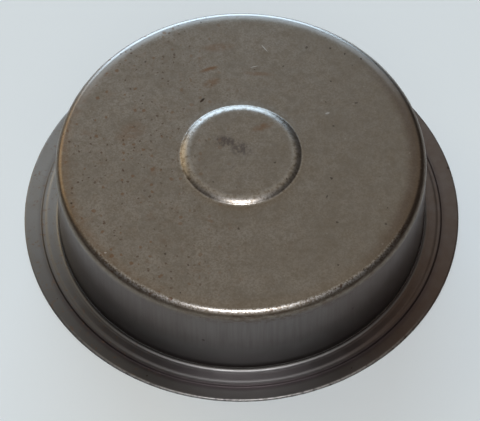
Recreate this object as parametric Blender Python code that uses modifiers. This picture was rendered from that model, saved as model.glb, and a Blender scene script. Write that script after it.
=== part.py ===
"""Candle mold: one round pan drawn and pressed from a single disc of sheet steel.

The mold stands mouth down, as it is put away: the trimmed rim lies on the XY plane, the
origin is the centre of the rim's underside and +Z runs up the axis to the closed base.
Metres throughout.
"""
import math

import bmesh
import bpy

MM = 0.001

# Sheet
SHEET = 0.6 * MM                 # thickness of the steel
# Rim
RIM_R = 61.5 * MM                # trimmed outer edge
# Sharp step between the flange and the narrow ledge above it
STEP_FOOT_R = 56.75 * MM         # where the step meets the flange
STEP_HEIGHT = 0.45 * MM
STEP_ROUND = 0.65 * MM           # rounded edge at the top of the step, just over the sheet's thickness
STEP_CORNER = 0.25 * MM          # hollow corner at its foot
STEP_ANGLE = math.radians(50.0)
# Soft slope from the ledge up to the shelf round the wall
EASE_FOOT_R = 55.6 * MM          # where the slope meets the ledge
EASE_ROUND = 2.2 * MM
EASE_CORNER = 1.2 * MM
EASE_ANGLE = math.radians(20.0)
# Wall
WALL_FOOT_R = 51.4 * MM          # outside radius where the wall enters its foot fillet
WALL_FILLET = 1.3 * MM
WALL_TOP_R = 50.65 * MM          # outside radius where the wall enters the base's round edge
BASE_ROUND = 2.6 * MM
# Base
BASE_Z = 28.3 * MM               # outside face of the base above the rim's underside
BOSS_R = 16.9 * MM               # foot of the round boss pressed out of the base
BOSS_ROUND = 4.7 * MM
BOSS_CORNER = 1.5 * MM
BOSS_ANGLE = math.radians(33.0)

# Facets
TURN_STEPS = 72                  # facets around the axis
MERGE = 0.00005                  # joins the screw's seam and its pole

# Derived heights of the outside surface
BOSS_Z = BASE_Z + (BOSS_ROUND + BOSS_CORNER) * (1.0 - math.cos(BOSS_ANGLE))
LEDGE_Z = SHEET + STEP_HEIGHT
SHELF_Z = LEDGE_Z + (EASE_ROUND + EASE_CORNER) * (1.0 - math.cos(EASE_ANGLE))
DRAFT = math.atan2(WALL_FOOT_R - WALL_TOP_R, BASE_Z - BASE_ROUND - SHELF_Z - WALL_FILLET)


def clear_scene():
    """Removes whatever the file opened with."""
    for obj in list(bpy.data.objects):
        bpy.data.objects.remove(obj, do_unlink=True)


def arc(centre_r, centre_z, radius, start, end, facets):
    """Points on an arc in the XZ half plane; angles run from +X towards +Z."""
    points = []
    for i in range(facets + 1):
        angle = start + (end - start) * i / facets
        points.append((centre_r + radius * math.cos(angle), centre_z + radius * math.sin(angle)))
    return points


def falling_step(foot_r, top_z, foot_z, round_r, corner_r, slope, facets):
    """An outward step down: a rounded edge, a straight slope and a hollow corner.

    The straight run is whatever height the two arcs leave over.
    """
    drop = top_z - foot_z - (round_r + corner_r) * (1.0 - math.cos(slope))
    run = drop / math.tan(slope)
    top_r = foot_r - run - (round_r + corner_r) * math.sin(slope)
    up = math.pi / 2.0
    edge = arc(top_r, top_z - round_r, round_r, up, up - slope, facets)
    corner = arc(foot_r, foot_z + corner_r, corner_r, -up - slope, -up, facets)
    if run < MERGE:
        corner = corner[1:]
    return edge + corner


def outside_profile():
    """The pan's outer outline from the middle of the boss down and out to the trimmed rim."""
    boss = falling_step(BOSS_R, BOSS_Z, BASE_Z, BOSS_ROUND, BOSS_CORNER, BOSS_ANGLE, 4)
    base_edge = arc(WALL_TOP_R - BASE_ROUND, BASE_Z - BASE_ROUND, BASE_ROUND, math.pi / 2.0, DRAFT, 6)
    wall_foot = arc(WALL_FOOT_R + WALL_FILLET, SHELF_Z + WALL_FILLET, WALL_FILLET,
                    math.pi + DRAFT, 1.5 * math.pi, 4)
    ease = falling_step(EASE_FOOT_R, SHELF_Z, LEDGE_Z, EASE_ROUND, EASE_CORNER, EASE_ANGLE, 2)
    step = falling_step(STEP_FOOT_R, LEDGE_Z, SHEET, STEP_ROUND, STEP_CORNER, STEP_ANGLE, 3)
    return [(0.0, BOSS_Z)] + boss + base_edge + wall_foot + ease + step + [(RIM_R, SHEET)]


def sheet_steel():
    """Bare drawn steel, dulled to a warm grey."""
    material = bpy.data.materials.new("drawn_sheet_steel")
    material.use_nodes = True
    shader = material.node_tree.nodes["Principled BSDF"]
    shader.inputs["Base Color"].default_value = (0.30, 0.27, 0.235, 1.0)
    shader.inputs["Metallic"].default_value = 1.0
    shader.inputs["Roughness"].default_value = 0.38
    return material


def outline_object(name, outline, collection):
    """A mesh of the outline's points joined by edges, ready to be turned."""
    mesh = bpy.data.meshes.new(name)
    bm = bmesh.new()
    verts = [bm.verts.new((r, 0.0, z)) for r, z in outline]
    for upper, lower in zip(verts, verts[1:]):
        bm.edges.new((upper, lower))
    bm.to_mesh(mesh)
    bm.free()
    obj = bpy.data.objects.new(name, mesh)
    collection.objects.link(obj)
    return obj


def mold_shell(collection):
    """The whole pan: base, boss, wall, shelf, step and flange in one sheet."""
    obj = outline_object("mold_shell", outside_profile(), collection)
    turn = obj.modifiers.new("turn", "SCREW")
    turn.axis = "Z"
    turn.angle = 2.0 * math.pi
    turn.steps = TURN_STEPS
    turn.render_steps = TURN_STEPS
    turn.use_merge_vertices = True
    turn.merge_threshold = MERGE
    turn.use_smooth_shade = True
    gauge = obj.modifiers.new("gauge", "SOLIDIFY")
    gauge.thickness = SHEET
    gauge.offset = -1.0
    gauge.use_even_offset = True
    obj.data.materials.append(sheet_steel())
    return obj


def main():
    clear_scene()
    collection = bpy.data.collections.new("candle_mold")
    bpy.context.scene.collection.children.link(collection)
    mold_shell(collection)


main()
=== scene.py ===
"""Looks of the candle mold: one deep-drawn sheet steel pan, lying mouth down.

The pan is modelled again as a fine turned shell around the fixed frame and dressed as bare steel
with wear and rust, and with some highlights and shade painted in. Lengths are metres; patterns on
the steel are laid out in millimetres.
"""

import logging
import math
from dataclasses import dataclass, field
from enum import Enum
from types import MappingProxyType
from typing import Any, Callable, Mapping, Sequence

import bpy
import bmesh
from mathutils import Matrix, Vector


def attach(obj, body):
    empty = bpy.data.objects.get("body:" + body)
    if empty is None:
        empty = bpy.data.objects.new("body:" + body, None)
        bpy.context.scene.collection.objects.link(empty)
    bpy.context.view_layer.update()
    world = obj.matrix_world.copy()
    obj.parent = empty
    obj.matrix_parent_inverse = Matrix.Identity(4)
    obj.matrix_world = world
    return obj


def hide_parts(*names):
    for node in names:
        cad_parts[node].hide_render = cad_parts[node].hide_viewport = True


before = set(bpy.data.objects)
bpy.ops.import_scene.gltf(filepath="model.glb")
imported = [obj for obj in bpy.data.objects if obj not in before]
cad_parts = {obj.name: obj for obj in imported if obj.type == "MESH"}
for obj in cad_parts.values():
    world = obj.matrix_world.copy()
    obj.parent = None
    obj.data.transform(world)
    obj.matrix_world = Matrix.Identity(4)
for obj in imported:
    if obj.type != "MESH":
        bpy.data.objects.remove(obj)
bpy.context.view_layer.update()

LOG = logging.getLogger("candle_mold")
MM = 0.001
NODE = "mold_shell"
ON_RING = 0.004 * MM
ON_RIM = 0.01 * MM
WELD = 0.01 * MM
PLAIN_BAND = 15.0 * MM
BAND_CUTS = 15
DISC_RINGS = 5


# ---------------------------------------------------------------------------------------------
# Shared helpers
# ---------------------------------------------------------------------------------------------

def linear(hex_colour: str) -> tuple[float, float, float, float]:
    """Turns an sRGB hex colour into the linear colour that shaders take.

    Args:
        hex_colour: The colour as "#rrggbb".

    Returns:
        The linear red, green, blue and an alpha of one.
    """
    channels = [int(hex_colour[i:i + 2], 16) / 255.0 for i in (1, 3, 5)]
    red, green, blue = (c / 12.92 if c <= 0.04045 else ((c + 0.055) / 1.055) ** 2.4 for c in channels)
    return red, green, blue, 1.0


def add_node(tree: bpy.types.NodeTree, kind: str, inputs: Mapping[Any, Any] = MappingProxyType({}),
             **settings: Any) -> bpy.types.Node:
    """Adds one node, sets its options and fills or links its inputs.

    Args:
        tree: The node tree that the node joins.
        kind: The node's type, such as "ShaderNodeMath".
        inputs: Input name or number, to a value, a node (its first output) or a socket to link.
        **settings: The node's own options, such as operation="ADD".

    Returns:
        The new node.
    """
    node = tree.nodes.new(kind)
    for name, value in settings.items():
        setattr(node, name, value)
    for key, value in inputs.items():
        if isinstance(value, bpy.types.Node):
            value = value.outputs[0]
        if isinstance(value, bpy.types.NodeSocket):
            tree.links.new(value, node.inputs[key])
        else:
            node.inputs[key].default_value = value
    return node


def deselect_all() -> None:
    """Leaves nothing selected, so the next operator touches only what it is given."""
    if bpy.context.object and bpy.context.object.mode != "OBJECT":
        bpy.ops.object.mode_set(mode="OBJECT")
    bpy.ops.object.select_all(action="DESELECT")


def make_active(obj: bpy.types.Object) -> None:
    """Selects one object alone and makes it active.

    Args:
        obj: The object to work on.
    """
    deselect_all()
    obj.select_set(True)
    bpy.context.view_layer.objects.active = obj


def pick(obj: bpy.types.Object, kind: str, test: Callable[[Any], bool]) -> None:
    """Selects, in edit mode, the elements that pass a test and nothing else.

    Args:
        obj: The object in edit mode.
        kind: "verts", "edges" or "faces".
        test: Says whether one bmesh element is wanted.
    """
    bpy.ops.mesh.select_mode(type={"verts": "VERT", "edges": "EDGE", "faces": "FACE"}[kind])
    bpy.ops.mesh.select_all(action="DESELECT")
    bm = bmesh.from_edit_mesh(obj.data)
    for element in getattr(bm, kind):
        if test(element):
            element.select_set(True)
    bm.select_flush_mode()
    bmesh.update_edit_mesh(obj.data)


# ---------------------------------------------------------------------------------------------
# The pan
# ---------------------------------------------------------------------------------------------

@dataclass(frozen=True)
class Bend:
    """One corner of the pan's outline, before it is rounded.

    Attributes:
        radius: Distance of the sharp corner from the axis.
        height: Height of the sharp corner.
        round_to: Radius of the arc that replaces it.
        segments: Facets in the arc.
    """

    radius: float
    height: float
    round_to: float = 0.0
    segments: int = 1


@dataclass
class DrawnPan:
    """The pan: boss, base, wall, foot fillet, shelf, step and flange in one sheet.

    Attributes:
        sheet: Thickness of the steel.
        rim_radius: Trimmed outer edge.
        rim_roll: Radius that trimming left on the flange's upper edge.
        rim_burr: Width of the broken lower edge.
        step_foot: Where the sharp step meets the flange.
        step_height: Ledge above the flange.
        step_angle: Slope of the sharp step.
        step_round: Radius of the step's crest.
        step_corner: Radius of the corner at its foot.
        ease_top: Where the soft slope above the ledge begins.
        ease_drop: How far it falls.
        ease_angle: Its slope.
        ease_round: Radius of its crest.
        ease_corner: Radius of the corner at its foot.
        die_line: Radius of the faint mark that the draw ring left on the shelf.
        die_drop: How far the shelf steps down towards the wall there.
        die_run: Width of that slope.
        die_round: Radius of its two corners.
        wall_foot: Outside radius where the wall enters its foot fillet.
        wall_fillet: Radius of that fillet.
        wall_top: Outside radius where the wall enters the base's round edge.
        base_round: Radius of the base's round edge.
        base_crown: Radius at which the base begins to fall towards that edge.
        crown_fall: Slope of that fall.
        crown_round: Radius of the bend where it begins.
        base_height: Outside face of the base above the rim's underside.
        boss_foot: Foot of the round boss.
        boss_skirt: Where the base round the boss is flat again.
        skirt_rise: How far the base rises from there to the boss's foot.
        skirt_round: Radius of the bend where the rise begins.
        boss_height: Outside face of the boss above the rim's underside.
        boss_angle: Steepest slope of the boss's side.
        boss_round: Radius of the boss's shoulder.
        boss_corner: Radius of the corner at its foot.
        off_centre: How far the trimmed edge is out of true with the drawn body.
        around: Facets around the axis.
        flange_rings: Rings across the flange.
    """

    sheet: float = 0.6 * MM
    rim_radius: float = 61.5 * MM
    rim_roll: float = 0.4 * MM
    rim_burr: float = 0.06 * MM
    step_foot: float = 56.7 * MM
    step_height: float = 0.45 * MM
    step_angle: float = math.radians(50.0)
    step_round: float = 0.2 * MM
    step_corner: float = 0.25 * MM
    ease_top: float = 54.9 * MM
    ease_drop: float = 0.21 * MM
    ease_angle: float = math.radians(17.0)
    ease_round: float = 2.2 * MM
    ease_corner: float = 1.2 * MM
    die_line: float = 53.0 * MM
    die_drop: float = 0.05 * MM
    die_run: float = 0.34 * MM
    die_round: float = 1.2 * MM
    wall_foot: float = 51.4 * MM
    wall_fillet: float = 1.3 * MM
    wall_top: float = 50.65 * MM
    base_round: float = 2.4 * MM
    base_crown: float = 46.3 * MM
    crown_fall: float = math.radians(5.0)
    crown_round: float = 16.0 * MM
    base_height: float = 28.3 * MM
    boss_foot: float = 16.5 * MM
    boss_skirt: float = 18.4 * MM
    skirt_rise: float = 0.10 * MM
    skirt_round: float = 12.0 * MM
    boss_height: float = 29.29 * MM
    boss_angle: float = math.radians(35.5)
    boss_round: float = 3.95 * MM
    boss_corner: float = 0.8 * MM
    off_centre: float = 0.7 * MM
    around: int = 320
    flange_rings: int = 6

    def outline(self) -> list[Bend]:
        """The outline's sharp corners from the boss's shoulder out to the trimmed edge.

        Returns:
            The corners in order. The last is the rim.
        """
        base, ledge = self.base_height, self.sheet + self.step_height
        ease_run = self.ease_drop / math.tan(self.ease_angle)
        shelf = ledge + self.ease_drop
        throat = shelf + self.die_drop
        boss_run = (self.boss_height - base - self.skirt_rise) / math.tan(self.boss_angle)
        lean = (self.wall_foot - self.wall_top) / (base - self.base_round - throat - self.wall_fillet)
        edge_radius = self.wall_top - self.base_round * lean
        edge_height = base - (edge_radius - self.base_crown) * math.tan(self.crown_fall)
        step_run = self.step_height / math.tan(self.step_angle)
        return [
            Bend(self.boss_foot - boss_run, self.boss_height, self.boss_round, 12),
            Bend(self.boss_foot, base + self.skirt_rise, self.boss_corner, 7),
            Bend(self.boss_skirt, base, self.skirt_round, 2),
            Bend(self.base_crown, base, self.crown_round, 5),
            Bend(edge_radius, edge_height, self.base_round, 16),
            Bend(self.wall_foot + self.wall_fillet * lean, throat, self.wall_fillet, 12),
            Bend(self.die_line - self.die_run / 2.0, throat, self.die_round, 2),
            Bend(self.die_line + self.die_run / 2.0, shelf, self.die_round, 2),
            Bend(self.ease_top, shelf, self.ease_round, 6),
            Bend(self.ease_top + ease_run, ledge, self.ease_corner, 5),
            Bend(self.step_foot - step_run, ledge, self.step_round, 4),
            Bend(self.step_foot, self.sheet, self.step_corner, 4),
            Bend(self.rim_radius, self.sheet),
        ]

    @staticmethod
    def setback(before: Bend, corner: Bend, after: Bend) -> float:
        """Works out how far from a sharp corner its arc begins.

        Args:
            before: The corner before it.
            corner: The corner that is rounded.
            after: The corner after it.

        Returns:
            The distance along either side.
        """
        arriving = math.atan2(corner.height - before.height, corner.radius - before.radius)
        leaving = math.atan2(after.height - corner.height, after.radius - corner.radius)
        return corner.round_to * math.tan(abs(leaving - arriving) / 2.0)

    def ring_radius(self, point: Vector) -> float:
        """Distance of a point from the drawn body's own axis."""
        return math.hypot(point.x, point.y + self.off_centre)

    def on_ring(self, point: Vector, radius: float, height: float) -> bool:
        """Whether a point lies on the ring of one radius at one height."""
        return abs(self.ring_radius(point) - radius) < ON_RING and abs(point.z - height) < ON_RING

    def grow_ring(self, wider: float, lift: float, slip: float) -> None:
        """Extrudes the selected ring into a wider one and leaves the new ring selected.

        Args:
            wider: Ratio of the new ring's radius to the old one's.
            lift: How far the new ring is above the old one.
            slip: How far its centre is moved towards +Y.
        """
        bpy.ops.mesh.extrude_edges_move(TRANSFORM_OT_translate={"value": (0.0, 0.0, lift)})
        ring = [v.co for v in bmesh.from_edit_mesh(bpy.context.object.data).verts if v.select]
        middle = sum(ring, Vector()) / len(ring)
        bpy.ops.transform.resize(value=(wider, wider, 1.0), center_override=middle)
        bpy.ops.transform.translate(value=(0.0, slip, 0.0))

    def raise_rings(self, corners: Sequence[Bend]) -> bpy.types.Object:
        """Draws the boss's disc and extrudes it ring by ring out to the trimmed edge.

        The flange's rings drift a little, so that the trimmed edge is out of true with the body.

        Args:
            corners: The outline's corners.

        Returns:
            The open, sharp-cornered outer skin, in edit mode.
        """
        last, rim = corners[0], corners[-1]
        deselect_all()
        bpy.ops.mesh.primitive_circle_add(vertices=self.around, radius=last.radius, fill_type="NGON",
                                          location=(0.0, -self.off_centre, last.height))
        obj = bpy.context.object
        obj.name = "drawn_pan"
        bpy.ops.object.transform_apply(location=True, rotation=True, scale=True)
        bpy.ops.object.mode_set(mode="EDIT")
        pick(obj, "edges", lambda e: e.is_boundary)
        for corner in corners[1:-1]:
            self.grow_ring(corner.radius / last.radius, corner.height - last.height, 0.0)
            last = corner
        width = (rim.radius - last.radius) / self.flange_rings
        for i in range(self.flange_rings):
            inner = last.radius + width * i
            self.grow_ring((inner + width) / inner, 0.0, self.off_centre / self.flange_rings)
        return obj

    def round_corners(self, obj: bpy.types.Object, corners: Sequence[Bend]) -> None:
        """Rounds every corner ring with a bevel of the arc's own radius.

        Args:
            obj: The sharp-cornered skin, in edit mode.
            corners: The outline's corners.
        """
        middle = Bend(0.0, corners[0].height)
        for before, corner, after in zip([middle, *corners], corners, corners[1:]):
            pick(obj, "edges", lambda edge: all(self.on_ring(vert.co, corner.radius, corner.height)
                                                for vert in edge.verts))
            bpy.ops.mesh.bevel(offset_type="OFFSET", offset=self.setback(before, corner, after),
                               segments=corner.segments, profile=0.5, affect="EDGES", clamp_overlap=False)
        bpy.ops.mesh.select_all(action="SELECT")
        bpy.ops.mesh.remove_doubles(threshold=WELD)

    def cut_rings(self, obj: bpy.types.Object) -> None:
        """Cuts the two broad plain bands, the base and the wall, into narrower rings.

        Args:
            obj: The skin, in edit mode.
        """
        pick(obj, "edges", lambda edge: edge.calc_length() > PLAIN_BAND)
        bpy.ops.mesh.subdivide(number_cuts=BAND_CUTS)

    def fill_disc(self, obj: bpy.types.Object) -> None:
        """Insets the boss's flat disc in rings and closes it with a pole.

        Args:
            obj: The skin, in edit mode.
        """
        pick(obj, "faces", lambda f: len(f.verts) == self.around)
        disc = next(f for f in bmesh.from_edit_mesh(obj.data).faces if f.select)
        step = self.ring_radius(disc.verts[0].co) / (DISC_RINGS + 1)
        for _ in range(DISC_RINGS):
            bpy.ops.mesh.inset(thickness=step, use_even_offset=True)
        bpy.ops.mesh.poke()

    def thicken(self, obj: bpy.types.Object) -> None:
        """Gives the skin its gauge inwards and rounds the sheared edge.

        The step's crest is tighter than the gauge, so the inner skin folds over itself there in a
        strip about 0.2 mm wide. It is left as it is.

        Args:
            obj: The open outer skin, in object mode.
        """
        gauge = obj.modifiers.new("gauge", "SOLIDIFY")
        gauge.thickness = self.sheet
        gauge.offset = -1.0
        gauge.use_even_offset = True
        make_active(obj)
        bpy.ops.object.modifier_apply(modifier=gauge.name)
        bpy.ops.object.mode_set(mode="EDIT")
        for height, width, segments in ((self.sheet, self.rim_roll, 5), (0.0, self.rim_burr, 1)):
            pick(obj, "edges", lambda edge: all(abs(vert.co.z - height) < ON_RIM
                                                and abs(vert.co.xy.length - self.rim_radius) < ON_RIM
                                                for vert in edge.verts))
            bpy.ops.mesh.bevel(offset_type="OFFSET", offset=width, segments=segments, profile=0.5,
                               affect="EDGES", clamp_overlap=False)
        bpy.ops.object.mode_set(mode="OBJECT")

    def build(self) -> bpy.types.Object:
        """Builds the whole pan.

        Returns:
            The closed shell, at the origin, facing out.
        """
        corners = self.outline()
        obj = self.raise_rings(corners)
        self.round_corners(obj, corners)
        self.fill_disc(obj)
        self.cut_rings(obj)
        bpy.ops.object.mode_set(mode="OBJECT")
        self.thicken(obj)
        LOG.info("pan: %d faces", len(obj.data.polygons))
        return obj


# ---------------------------------------------------------------------------------------------
# Finishes
# ---------------------------------------------------------------------------------------------

class Side(Enum):
    """Sides of the pan, as compass bearings in degrees from +Y towards +X."""

    BACK = 0.0
    RIGHT = 90.0
    RIGHT_FRONT = 140.0
    FRONT = 180.0
    LEFT = 270.0


@dataclass(frozen=True)
class Smear:
    """A rubbed or stained patch, long in one direction.

    Attributes:
        x: Its middle, in millimetres from the pan's axis.
        y: Its middle, in millimetres from the pan's axis.
        length: Its length in millimetres.
        width: Its width in millimetres.
        turn: Direction of its length, in degrees from +X towards +Y.
        strength: How much of it covers the steel, from 0 to 1.
    """

    x: float
    y: float
    length: float
    width: float
    turn: float
    strength: float


class Coating:
    """A material being made, with the places on the pan that its patterns are laid out by.

    Attributes:
        material: The material.
        tree: Its node tree.
        shader: Its principled shader.
        place: Position in millimetres, from the drawn body's own axis.
        across: Distance to the right of the axis in millimetres.
        height: Height in millimetres.
        radius: Distance from the axis in millimetres.
        outward: Unit direction away from the axis.
    """

    def __init__(self, name: str, off_centre: float) -> None:
        """Starts a material.

        Args:
            name: The material's name.
            off_centre: How far the body's axis is towards -Y, in metres.
        """
        self.material = bpy.data.materials.new(name)
        self.material.use_nodes = True
        self.tree = self.material.node_tree
        self.shader = self.tree.nodes["Principled BSDF"]
        metres = self.node("ShaderNodeTexCoord").outputs["Object"]
        centred = self.node("ShaderNodeVectorMath", {0: metres, 1: (0.0, off_centre, 0.0)}, operation="ADD")
        scaled = self.node("ShaderNodeVectorMath", {0: centred, "Scale": 1.0 / MM}, operation="SCALE")
        self.place = scaled.outputs[0]
        self.across, _, self.height = self.node("ShaderNodeSeparateXYZ", {0: self.place}).outputs
        level = self.node("ShaderNodeVectorMath", {0: self.place, 1: (1.0, 1.0, 0.0)}, operation="MULTIPLY")
        self.radius = self.node("ShaderNodeVectorMath", {0: level}, operation="LENGTH").outputs["Value"]
        self.outward = self.node("ShaderNodeVectorMath", {0: level}, operation="NORMALIZE").outputs[0]

    def node(self, kind: str, inputs: Mapping[Any, Any] = MappingProxyType({}),
             **settings: Any) -> bpy.types.Node:
        """Adds a node to this material's tree."""
        return add_node(self.tree, kind, inputs, **settings)

    def between(self, value: bpy.types.NodeSocket, start: float, full: float,
                fade: float | None = None, end: float | None = None) -> bpy.types.NodeSocket:
        """A mask that rises softly as a value goes from start to full, and may fall again.

        Args:
            value: What is measured.
            start: Where the mask is still 0.
            full: Where it reaches 1.
            fade: Where it begins to fall, if it does.
            end: Where it is 0 again.

        Returns:
            The mask's socket.
        """
        rise = self.node("ShaderNodeMapRange", {"Value": value, "From Min": start, "From Max": full},
                         interpolation_type="SMOOTHSTEP")
        if fade is None:
            return rise.outputs[0]
        fall = self.node("ShaderNodeMapRange", {"Value": value, "From Min": end, "From Max": fade},
                         interpolation_type="SMOOTHSTEP")
        return self.node("ShaderNodeMath", {0: rise, 1: fall}, operation="MULTIPLY").outputs[0]

    def facing(self, side: Side, wide: float, narrow: float) -> bpy.types.NodeSocket:
        """A mask of one side of the pan.

        Args:
            side: The side.
            wide: Angle from the side's bearing at which the mask is 0, in degrees.
            narrow: Angle at which it is 1.

        Returns:
            The mask's socket.
        """
        bearing = math.radians(side.value)
        towards = (math.sin(bearing), math.cos(bearing), 0.0)
        along = self.node("ShaderNodeVectorMath", {0: self.outward, 1: towards},
                          operation="DOT_PRODUCT").outputs["Value"]
        return self.between(along, math.cos(math.radians(wide)), math.cos(math.radians(narrow)))

    def clouds(self, size: tuple[float, float, float], low: float, high: float, detail: float = 3.0,
               shift: float = 0.0, on: bpy.types.NodeSocket | None = None) -> bpy.types.NodeSocket:
        """A mask of soft irregular patches.

        Args:
            size: Size of a patch along X, Y and Z, in millimetres.
            low: Share of the noise below which the mask is 0.
            high: Share above which it is 1.
            detail: Finer layers on top of the patches.
            shift: Moves the pattern, so that two of the same size differ.
            on: The position that is patterned, or the pan's own place.

        Returns:
            The mask's socket.
        """
        placed = self.node("ShaderNodeMapping", {"Vector": on or self.place, "Location": (shift,) * 3,
                                                 "Scale": tuple(1.0 / side for side in size)})
        noise = self.node("ShaderNodeTexNoise", {"Vector": placed, "Scale": 1.0, "Detail": detail,
                                                 "Roughness": 0.6})
        return self.between(noise.outputs[0], low, high)

    def flecks(self, spacing: float, widest: float, share: float, shift: float = 0.0,
               plan: bool = True) -> bpy.types.NodeSocket:
        """A mask of small scattered round flecks of many sizes.

        Args:
            spacing: Mean distance between places where a fleck may be, in millimetres.
            widest: Radius of the widest fleck, in millimetres.
            share: Share of the places that have one.
            shift: Moves the pattern.
            plan: Laid out flat on the base, not through space.

        Returns:
            The mask's socket.
        """
        wobble = self.node("ShaderNodeTexNoise", {"Vector": self.place, "Scale": 1.4, "Detail": 2.0})
        torn = self.node("ShaderNodeVectorMath", {0: wobble.outputs["Color"], 1: (0.9,) * 3, 2: self.place},
                         operation="MULTIPLY_ADD")
        placed = self.node("ShaderNodeMapping", {"Vector": torn, "Location": (shift,) * 3,
                                                 "Scale": (1.0 / spacing,) * 3})
        cells = self.node("ShaderNodeTexVoronoi", {"Vector": placed, "Scale": 1.0},
                          voronoi_dimensions="2D" if plan else "3D")
        chance = self.node("ShaderNodeSeparateColor", {0: cells.outputs["Color"]})
        reach = self.node("ShaderNodeMapRange", {"Value": chance.outputs[0], "From Min": 1.0 - share,
                                                 "From Max": 1.0, "To Min": 0.0, "To Max": widest / spacing})
        inside = self.node("ShaderNodeMath", {0: reach, 1: cells.outputs["Distance"]}, operation="SUBTRACT")
        return self.between(inside.outputs[0], 0.0, 0.25 * widest / spacing)

    def smears(self, patches: Sequence[Smear], edge: float = 0.3) -> bpy.types.NodeSocket:
        """A mask of listed patches with soft edges.

        Args:
            patches: The patches.
            edge: Share of each patch's half width over which it is solid.

        Returns:
            The mask's socket.
        """
        total = None
        for patch in patches:
            local = self.node("ShaderNodeMapping", {
                "Vector": self.place, "Location": (patch.x, patch.y, 0.0),
                "Rotation": (0.0, 0.0, math.radians(patch.turn)),
                "Scale": (patch.length / 2.0, patch.width / 2.0, 1.0)}, vector_type="TEXTURE")
            flat = self.node("ShaderNodeVectorMath", {0: local, 1: (1.0, 1.0, 0.0)}, operation="MULTIPLY")
            reach = self.node("ShaderNodeVectorMath", {0: flat}, operation="LENGTH").outputs["Value"]
            mask = self.node("ShaderNodeMapRange", {"Value": reach, "From Min": 1.0, "From Max": edge,
                                                    "To Max": patch.strength},
                             interpolation_type="SMOOTHSTEP")
            if total is not None:
                mask = self.node("ShaderNodeMath", {0: total, 1: mask}, operation="MAXIMUM")
            total = mask
        return total.outputs[0]

    def both(self, *masks: bpy.types.NodeSocket) -> bpy.types.NodeSocket:
        """Multiplies masks.

        Args:
            *masks: One mask or more.

        Returns:
            Their product's socket.
        """
        total = masks[0]
        for mask in masks[1:]:
            total = self.node("ShaderNodeMath", {0: total, 1: mask}, operation="MULTIPLY").outputs[0]
        return total

    def lay(self, below: Any, over: Any, strength: float,
            *masks: bpy.types.NodeSocket) -> bpy.types.NodeSocket:
        """Lays a colour, or a number, over another where the masks say.

        Args:
            below: The colour or number underneath, as hex, number or socket.
            over: What is laid over it.
            strength: How much of it covers where the masks are full.
            *masks: The masks, which multiply.

        Returns:
            The result's socket.
        """
        coloured = isinstance(over, str) or (isinstance(over, bpy.types.NodeSocket) and over.type == "RGBA")
        cover = self.node("ShaderNodeMath", {0: self.both(*masks), 1: strength}, operation="MULTIPLY")
        below, over = (linear(value) if isinstance(value, str) else value for value in (below, over))
        if coloured:
            mixed = self.node("ShaderNodeMix", {0: cover, 6: below, 7: over}, data_type="RGBA")
            return mixed.outputs[2]
        return self.node("ShaderNodeMix", {0: cover, 2: below, 3: over}).outputs[0]

    def relief(self, heights: Sequence[tuple[bpy.types.NodeSocket, float]]) -> None:
        """Bumps the surface.

        Args:
            heights: Pairs of a mask and how far it stands up where it is full, in millimetres.
        """
        normal = None
        for mask, rise in heights:
            inputs = {"Height": mask, "Distance": rise * MM, "Strength": 1.0}
            if normal is not None:
                inputs["Normal"] = normal
            normal = self.node("ShaderNodeBump", inputs)
        self.tree.links.new(normal.outputs[0], self.shader.inputs["Normal"])

    def finish(self, colour: bpy.types.NodeSocket, roughness: bpy.types.NodeSocket) -> bpy.types.Material:
        """Plugs the colour and the roughness in and sets the metal.

        Args:
            colour: The steel's reflectance.
            roughness: Its roughness.

        Returns:
            The finished material.
        """
        self.tree.links.new(colour, self.shader.inputs["Base Color"])
        self.tree.links.new(roughness, self.shader.inputs["Roughness"])
        self.shader.inputs["Metallic"].default_value = 1.0
        return self.material


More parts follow.
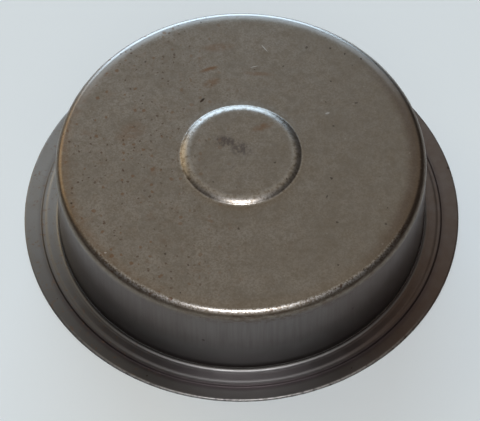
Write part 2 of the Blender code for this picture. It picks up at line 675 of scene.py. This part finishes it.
@dataclass(frozen=True)
class DrawnSteel:
    """Mild steel sheet, deep drawn in a press and left bare; every face of the pan wears it.

    Drawing stretches the skin and burnishes it in upright lines where it slid over the die ring, so
    the wall is darker and streaked, while the base, which hardly moved, keeps the mill's fine matt
    grain. Years of wax and handling have browned it: a thin oxide takes most of the shine, rust
    flecks the base, and the boss's shoulder and a few scratches are polished bright. Painted
    highlights lighten the base's edge in front and behind, the foot fillet and the rim in front;
    painted shade darkens the wall's foot, the step's corner and the front of the shelf and flange.

    Attributes:
        pan: The pan that it covers.
        bare: Reflectance of the oxidised base.
        wear_and_glint: Where hands have dulled it lighter.
        dusky: Where the oxide is thicker, and the pan darker towards its right.
        wall: The drawn wall.
        cool: The shelf and flange, which browned less; also the wall's upright lines, the wall lighter
            towards the bottom, and a painted highlight along the foot fillet.
        shade: Painted shade over the front of the shelf and the flange.
        rust: Red-brown rust.
        umber: Old dark rust.
        pit: Pits and specks.
        rubbed_and_highlight: Scratches and the boss's shoulder polished by wear, and painted highlights on
            the base's edge and the rim.
        grime_and_shade: Dirt on the base and the wall; painted shade at the wall's foot and over the shelf's
            front; and the step's corner painted darker.
    """

    pan: DrawnPan
    bare: str = "#877e74"
    wear_and_glint: str = "#92897e"
    dusky: str = "#72695e"
    wall: str = "#6d6867"
    cool: str = "#888786"
    shade: str = "#575555"
    rust: str = "#715641"
    umber: str = "#4e382b"
    pit: str = "#33261f"
    rubbed_and_highlight: str = "#bdbbb8"
    grime_and_shade: str = "#3f3639"

    def make(self) -> bpy.types.Material:
        """Makes the material.

        Returns:
            The material.
        """
        coat = Coating("drawn_mild_steel_oxidised", self.pan.off_centre)
        top = self.pan.base_height / MM
        on_base = coat.between(coat.height, top - 1.5, top - 0.6)
        west = coat.between(coat.across, 12.0, -30.0)
        colour = self.base(coat, west)
        wall_mask = coat.between(coat.height, 2.0, 3.4, top - 4.0, top - 1.4)
        colour, streaks = self.drawn_wall(coat, colour, wall_mask)
        colour = self.flange(coat, colour)
        colour = self.edge_of_base(coat, colour)
        colour = self.flecked(coat, colour, on_base, west)
        roughness = self.roughness(coat, wall_mask)
        grain = coat.clouds((0.45, 0.45, 0.45), 0.2, 0.8, 2.0)
        swell = coat.clouds((7.0, 7.0, 7.0), 0.25, 0.75, 1.5, 4.0)
        coat.relief([(swell, 0.02), (grain, 0.007), (coat.both(streaks, wall_mask), 0.006)])
        return coat.finish(colour, roughness)

    def base(self, coat: Coating, west: bpy.types.NodeSocket) -> bpy.types.NodeSocket:
        """Colours the base and the boss: matt warm grey, clouded, with smears of rust.

        Args:
            coat: The material being made.
            west: The mask of the rustier left half.

        Returns:
            The colour.
        """
        colour = coat.lay(self.bare, self.dusky, 0.55, coat.clouds((14.0, 14.0, 14.0), 0.35, 0.75, 4.0))
        colour = coat.lay(colour, self.wear_and_glint, 0.5, coat.clouds((5.0, 9.0, 5.0), 0.45, 0.8, 4.0, 9.0))
        # The mill's grain is about 0.05 mm; it is drawn at 0.5 mm so that it shows at all.
        colour = coat.lay(colour, self.dusky, 0.75, coat.clouds((0.5, 0.5, 0.5), 0.38, 0.66, 2.0, 3.0))
        colour = coat.lay(colour, self.dusky, 0.65, coat.clouds((2.0, 2.0, 2.0), 0.46, 0.70, 3.0, 19.0))
        # Darker towards the right.
        colour = coat.lay(colour, self.dusky, 0.4, coat.between(coat.across, -8.0, 44.0))
        tarnish = coat.clouds((3.2, 3.2, 3.2), 0.54, 0.76, 4.0, 17.0)
        colour = coat.lay(colour, self.rust, 0.30, tarnish, west)
        rust = coat.smears((
            Smear(-8.6, 29.3, 7.0, 1.9, 20.0, 1.0), Smear(-8.0, 24.5, 7.0, 3.6, 30.0, 0.8),
            Smear(5.0, 27.5, 12.0, 2.0, -4.0, 0.5), Smear(-6.0, 37.0, 12.0, 4.0, 5.0, 0.5),
            Smear(6.0, 8.5, 8.0, 3.2, 22.0, 0.8), Smear(-30.0, 8.0, 12.0, 8.0, 30.0, 0.4),
        ))
        colour = coat.lay(colour, self.rust, 0.9, rust, coat.clouds((1.6, 1.6, 1.6), 0.25, 0.6, 4.0, 5.0))
        smudge = coat.smears((
            Smear(-4.0, 3.6, 9.5, 5.4, -22.0, 1.0), Smear(-0.2, 1.3, 9.0, 6.4, -30.0, 0.9),
            Smear(-2.0, -4.5, 4.5, 0.7, 52.0, 0.4),
        ))
        scribble = coat.clouds((0.8, 1.4, 1.0), 0.28, 0.62, 3.0, 7.0)
        colour = coat.lay(colour, self.grime_and_shade, 0.62, smudge, scribble)
        nicks = coat.smears((
            Smear(-10.5, 18.5, 2.2, 0.8, 50.0, 1.0), Smear(32.0, 17.0, 1.6, 0.6, 10.0, 0.7),
            Smear(23.0, -14.0, 1.2, 0.5, 70.0, 0.7),
        ), 0.6)
        colour = coat.lay(colour, self.pit, 0.9, nicks)
        scratches = coat.smears((
            Smear(7.0, 36.5, 3.6, 0.35, -55.0, 0.9), Smear(24.0, 13.6, 1.6, 0.8, 20.0, 0.6),
            Smear(4.0, 30.0, 2.6, 0.4, 15.0, 0.7), Smear(-36.0, -31.0, 0.9, 0.6, 0.0, 1.0),
        ), 0.5)
        return coat.lay(colour, self.rubbed_and_highlight, 0.8, scratches)

    def edge_of_base(self, coat: Coating, colour: bpy.types.NodeSocket) -> bpy.types.NodeSocket:
        """Colours the base's round edge: rust on the left, brown in front, painted highlights on its crest
        in front and behind.

        Args:
            coat: The material being made.
            colour: The colour underneath.

        Returns:
            The colour.
        """
        edge = self.pan.wall_top / MM
        band = coat.between(coat.radius, edge - 5.2, edge - 2.4, edge - 0.8, edge - 0.2)
        ragged = coat.clouds((1.1, 1.1, 1.1), 0.3, 0.6, 4.0, 21.0)
        colour = coat.lay(colour, self.rust, 0.30, band, ragged, coat.facing(Side.LEFT, 72.0, 25.0))
        stained = coat.between(coat.radius, edge - 6.5, edge - 3.4, edge - 1.0, edge + 0.5)
        colour = coat.lay(colour, self.umber, 0.45, stained, coat.facing(Side.RIGHT, 55.0, 15.0))
        below = coat.between(coat.radius, edge - 1.1, edge - 0.4)
        blotches = coat.clouds((1.6, 1.6, 0.7), 0.44, 0.60, 4.0, 31.0)
        high = coat.between(coat.height, self.pan.base_height / MM - 5.5, self.pan.base_height / MM - 3.2)
        colour = coat.lay(colour, self.umber, 0.45, below, high, blotches,
                          coat.facing(Side.RIGHT_FRONT, 80.0, 25.0))
        # Painted highlight: the crest of the base's edge is painted lighter, in speckles, on the front only.
        crest = coat.between(coat.radius, edge - 2.5, edge - 1.7, edge - 1.1, edge - 0.5)
        speckle = coat.clouds((0.55, 0.55, 0.55), 0.38, 0.62, 2.0, 41.0)
        colour = coat.lay(colour, self.rubbed_and_highlight, 0.75, crest, speckle, coat.facing(Side.FRONT, 70.0, 35.0))
        # Painted highlight: a lighter band on the back of the base's edge.
        far = coat.between(coat.radius, edge - 4.0, edge - 2.4, edge - 0.6, edge)
        colour = coat.lay(colour, self.rubbed_and_highlight, 0.5, far, coat.facing(Side.BACK, 78.0, 35.0))
        foot = self.pan.boss_foot / MM
        shoulder = coat.between(coat.radius, foot - 3.2, foot - 1.8, foot, foot + 0.8)
        colour = coat.lay(colour, self.rubbed_and_highlight, 0.4, shoulder,
                          coat.clouds((0.9, 0.9, 0.9), 0.3, 0.6, 3.0, 43.0))
        return coat.lay(colour, self.umber, 0.8, crest, coat.clouds((1.3, 1.3, 1.3), 0.56, 0.68, 3.0, 47.0),
                        coat.facing(Side.RIGHT_FRONT, 60.0, 20.0))

    def drawn_wall(self, coat: Coating, colour: bpy.types.NodeSocket,
                   mask: bpy.types.NodeSocket) -> tuple[bpy.types.NodeSocket, bpy.types.NodeSocket]:
        """Colours the wall darker, with the upright lines that the die ring drew in it, lighter towards the
        bottom and with painted shade just above its foot.

        Args:
            coat: The material being made.
            colour: The colour underneath.
            mask: The mask of the wall.

        Returns:
            The colour and the mask of the lines.
        """
        # Real draw lines are 0.05 to 0.2 mm apart; the finest are left out.
        streaks = coat.clouds((0.7, 0.7, 26.0), 0.3, 0.7, 3.0, 51.0)
        colour = coat.lay(colour, self.wall, 0.92, mask)
        colour = coat.lay(colour, self.cool, 0.3, mask, streaks)
        colour = coat.lay(colour, self.grime_and_shade, 0.2, mask,
                          coat.clouds((3.0, 3.0, 16.0), 0.45, 0.85, 3.0, 57.0))
        # The wall is made lighter towards the bottom.
        colour = coat.lay(colour, self.cool, 0.95, mask, coat.between(coat.height, 15.0, 7.0))
        colour = coat.lay(colour, self.umber, 0.55, mask, coat.facing(Side.RIGHT, 80.0, 35.0))
        colour = coat.lay(colour, self.umber, 0.35, mask, coat.facing(Side.LEFT, 85.0, 40.0))
        # Painted shade: the wall is darkened in a band just above its foot fillet.
        foot = coat.between(coat.height, 1.9, 2.3, 2.8, 4.6)
        colour = coat.lay(colour, self.grime_and_shade, 0.6, foot)
        return colour, streaks

    def flange(self, coat: Coating, colour: bpy.types.NodeSocket) -> bpy.types.NodeSocket:
        """Colours the shelf and the flange: cooler at the left, browner at the right.

        The step's corner is painted darker, and painted shade darkens it more in front, as it does the
        front of the shelf and the flange; painted highlights lighten the foot fillet and the rim in front.

        Args:
            coat: The material being made.
            colour: The colour underneath.

        Returns:
            The colour.
        """
        low = coat.between(coat.height, 2.3, 1.9)
        colour = coat.lay(colour, self.cool, 0.85, low)
        # Painted shade darkens the front of the shelf and the flange.
        colour = coat.lay(colour, self.shade, 0.95, low, coat.facing(Side.FRONT, 105.0, 40.0))
        right = coat.facing(Side.RIGHT, 75.0, 30.0)
        colour = coat.lay(colour, self.umber, 0.6, low, right)
        colour = coat.lay(colour, self.umber, 0.25, low, right,
                          coat.clouds((2.5, 2.5, 2.5), 0.3, 0.7, 4.0, 61.0))
        step, foot, edge = self.pan.step_foot / MM, self.pan.wall_foot / MM, self.pan.rim_radius / MM
        # The step's corner is painted darker all round; painted shade darkens it more in front, where it
        # dims the step's highlight.
        corner = coat.between(coat.radius, step - 1.0, step - 0.3, step + 0.2, step + 1.5)
        colour = coat.lay(colour, self.grime_and_shade, 0.25, low, corner)
        colour = coat.lay(colour, self.grime_and_shade, 0.6, low, corner, coat.facing(Side.FRONT, 80.0, 30.0))
        # Painted highlight: a lighter, cooler ring on the foot fillet, where its highlight line falls.
        throat = coat.between(coat.radius, foot + 0.25, foot + 0.6, foot + 0.8, foot + 1.2)
        colour = coat.lay(colour, self.cool, 0.5, low, throat)
        # Painted shade darkens the front of the shelf.
        shelf = coat.between(coat.radius, foot + 1.0, foot + 1.8, step - 2.0, step - 1.2)
        colour = coat.lay(colour, self.grime_and_shade, 0.35, low, shelf, coat.facing(Side.FRONT, 60.0, 20.0))
        # Painted glint: the rim's upper edge is painted lighter in front, in speckled patches.
        rim = coat.between(coat.radius, edge - 1.4, edge - 1.0)
        wear_and_glint = coat.clouds((1.2, 1.2, 1.2), 0.25, 0.6, 2.0, 73.0)
        colour = coat.lay(colour, self.rubbed_and_highlight, 0.5, low, rim, wear_and_glint, coat.facing(Side.FRONT, 62.0, 12.0))
        shallow = coat.clouds((1.2, 1.2, 1.2), 0.56, 0.7, 4.0, 67.0)
        return coat.lay(colour, self.rust, 0.5, low, shallow, coat.facing(Side.LEFT, 80.0, 40.0))

    def flecked(self, coat: Coating, colour: bpy.types.NodeSocket, on_base: bpy.types.NodeSocket,
                west: bpy.types.NodeSocket) -> bpy.types.NodeSocket:
        """Scatters rust pits: thick on the left of the base, sparse elsewhere.

        Args:
            coat: The material being made.
            colour: The colour underneath.
            on_base: The mask of the base and the boss.
            west: The mask of the rustier left half.

        Returns:
            The colour.
        """
        patches = coat.clouds((11.0, 11.0, 11.0), 0.35, 0.6, 2.0, 29.0)
        colour = coat.lay(colour, self.umber, 0.7, coat.flecks(1.5, 0.42, 0.42), on_base, west, patches)
        colour = coat.lay(colour, self.rust, 0.7, coat.flecks(2.6, 0.70, 0.38, 37.0), on_base, west)
        colour = coat.lay(colour, self.pit, 0.6, coat.flecks(6.5, 0.42, 0.28, 13.0), on_base)
        colour = coat.lay(colour, self.wear_and_glint, 0.5, coat.flecks(2.9, 0.3, 0.3, 23.0), on_base)
        return coat.lay(colour, self.pit, 0.7, coat.flecks(5.0, 0.5, 0.3, 33.0, plan=False))

    def roughness(self, coat: Coating, wall_mask: bpy.types.NodeSocket) -> bpy.types.NodeSocket:
        """Makes the base matt, the wall smoother and the bends that were drawn tightest smoothest.

        Args:
            coat: The material being made.
            wall_mask: The mask of the wall.

        Returns:
            The roughness.
        """
        patchy = coat.clouds((4.0, 4.0, 4.0), 0.25, 0.75, 4.0, 71.0)
        rough = coat.lay(0.36, 0.45, 1.0, patchy)
        rough = coat.lay(rough, 0.34, 0.8, wall_mask)
        foot, throat, edge = self.pan.boss_foot / MM, self.pan.wall_foot / MM, self.pan.wall_top / MM
        fillet = coat.between(coat.radius, throat, throat + 0.2, throat + 0.4, throat + 0.7)
        rough = coat.lay(rough, 0.25, 0.9, fillet)
        crest = coat.between(coat.radius, edge - 3.4, edge - 2.2, edge - 0.9, edge - 0.3)
        rough = coat.lay(rough, 0.30, 0.8, crest)
        shoulder = coat.between(coat.radius, foot - 3.0, foot - 1.4, foot + 0.4, foot + 1.2)
        return coat.lay(rough, 0.29, 0.8, shoulder)


# ---------------------------------------------------------------------------------------------
# Stage
# ---------------------------------------------------------------------------------------------

@dataclass(frozen=True)
class Softbox:
    """A rectangular area light, aimed at the pan.

    Attributes:
        name: What it is called in the scene.
        bearing: Compass angle from +Y towards +X, in degrees.
        height: Angle above the floor, in degrees.
        distance: Distance from the pan, in metres.
        width: Size across, in metres.
        tall: Size along the other side, in metres.
        radiance: Brightness of its face.
        colour: Its colour as hex.
    """

    name: str
    bearing: float
    height: float
    distance: float
    width: float
    tall: float
    radiance: float
    colour: str

    def hang(self) -> None:
        """Puts the light in the scene."""
        bearing, height = math.radians(self.bearing), math.radians(self.height)
        place = Vector((math.sin(bearing) * math.cos(height), math.cos(bearing) * math.cos(height),
                        math.sin(height))) * self.distance
        data = bpy.data.lights.new(self.name, "AREA")
        data.shape = "RECTANGLE"
        data.size = self.width
        data.size_y = self.tall
        data.energy = self.radiance * math.pi * self.width * self.tall
        data.color = linear(self.colour)[:3]
        light = bpy.data.objects.new(self.name, data)
        bpy.context.scene.collection.objects.link(light)
        light.location = place
        light.rotation_euler = place.to_track_quat("Z", "Y").to_euler()
        light.visible_camera = False


@dataclass
class Studio:
    """Pale floor, soft lights and the camera.

    Attributes:
        rim_radius: The pan's radius, which the camera's distances are multiples of.
        elevation: Camera's angle above the floor, in degrees.
        distance: Camera's distance from its aim, in rim radii.
        lens: Focal length in millimetres on a 36 mm sensor.
        roll: Camera's roll, in degrees.
        aim: The aimed-at point on the floor, in rim radii.
    """

    rim_radius: float
    elevation: float = 56.64
    distance: float = 9.234
    lens: float = 150.0
    roll: float = -0.61
    aim: tuple[float, float] = (-0.0064, -0.0045)
    softboxes: tuple[Softbox, ...] = field(default_factory=lambda: (
        Softbox("key_softbox", 180.0, 70.0, 1.1, 0.14, 0.12, 102.0, "#fbfcff"),
        Softbox("north_window", -6.0, 14.0, 1.6, 1.2, 1.1, 4.9, "#cde7ff"),
        Softbox("warm_card", -50.0, 30.0, 1.5, 0.8, 0.8, 1.7, "#efdcb8"),
        Softbox("ceiling_bounce", 0.0, 66.0, 1.6, 1.8, 1.3, 0.50, "#f8f1e0"),
        Softbox("south_room", 180.0, 42.0, 1.8, 1.6, 1.2, 0.72, "#f4efe8"),
    ))

    def floor(self) -> None:
        """Lays the pale floor, wide enough to fill every view."""
        deselect_all()
        bpy.ops.mesh.primitive_plane_add(size=6.0, location=(0.0, 0.0, 0.0))
        obj = bpy.context.object
        obj.name = "floor"
        material = bpy.data.materials.new("bleached_cotton_floor")
        material.use_nodes = True
        shader = material.node_tree.nodes["Principled BSDF"]
        shader.inputs["Base Color"].default_value = linear("#e6edf0")
        shader.inputs["Roughness"].default_value = 0.95
        shader.inputs["Specular IOR Level"].default_value = 0.2
        obj.data.materials.append(material)

    def room(self) -> None:
        """Fills the rest of the room with a dim, slightly warm grey."""
        world = bpy.data.worlds.new("dim_room")
        bpy.context.scene.world = world
        world.use_nodes = True
        background = world.node_tree.nodes["Background"]
        background.inputs["Color"].default_value = linear("#6b6662")
        background.inputs["Strength"].default_value = 0.6

    def camera(self) -> None:
        """Sets the camera."""
        data = bpy.data.cameras.new("camera")
        data.lens = self.lens
        data.sensor_width = 36.0
        data.clip_start = 0.01
        obj = bpy.data.objects.new("camera", data)
        bpy.context.scene.collection.objects.link(obj)
        slope, roll = math.radians(self.elevation), math.radians(self.roll)
        back = Vector((0.0, -math.cos(slope), math.sin(slope)))
        right = Vector((1.0, 0.0, 0.0))
        up = back.cross(right)
        across = right * math.cos(roll) + up * math.sin(roll)
        upward = up * math.cos(roll) - right * math.sin(roll)
        aim = Vector((self.aim[0], self.aim[1], 0.0)) * self.rim_radius
        turn = Matrix((across, upward, back)).transposed()
        obj.matrix_world = Matrix.Translation(aim + back * self.distance * self.rim_radius) @ turn.to_4x4()
        bpy.context.scene.camera = obj

    def build(self) -> None:
        """Builds the floor, the lights and the camera."""
        self.floor()
        self.room()
        for softbox in self.softboxes:
            softbox.hang()
        self.camera()
        view = bpy.context.scene.view_settings
        view.view_transform = "Standard"


def main() -> None:
    """Builds the pan and the stage, and reports each piece."""
    logging.basicConfig(level=logging.INFO, format="%(message)s")
    pan = DrawnPan()
    obj = pan.build()
    obj.data.materials.append(DrawnSteel(pan).make())
    LOG.info("finish: %s", obj.data.materials[-1].name)
    make_active(obj)
    bpy.ops.object.shade_smooth_by_angle(angle=math.radians(40.0))
    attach(obj, "root")
    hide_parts(NODE)
    Studio(rim_radius=pan.rim_radius).build()


if __name__ == "__main__":
    main()
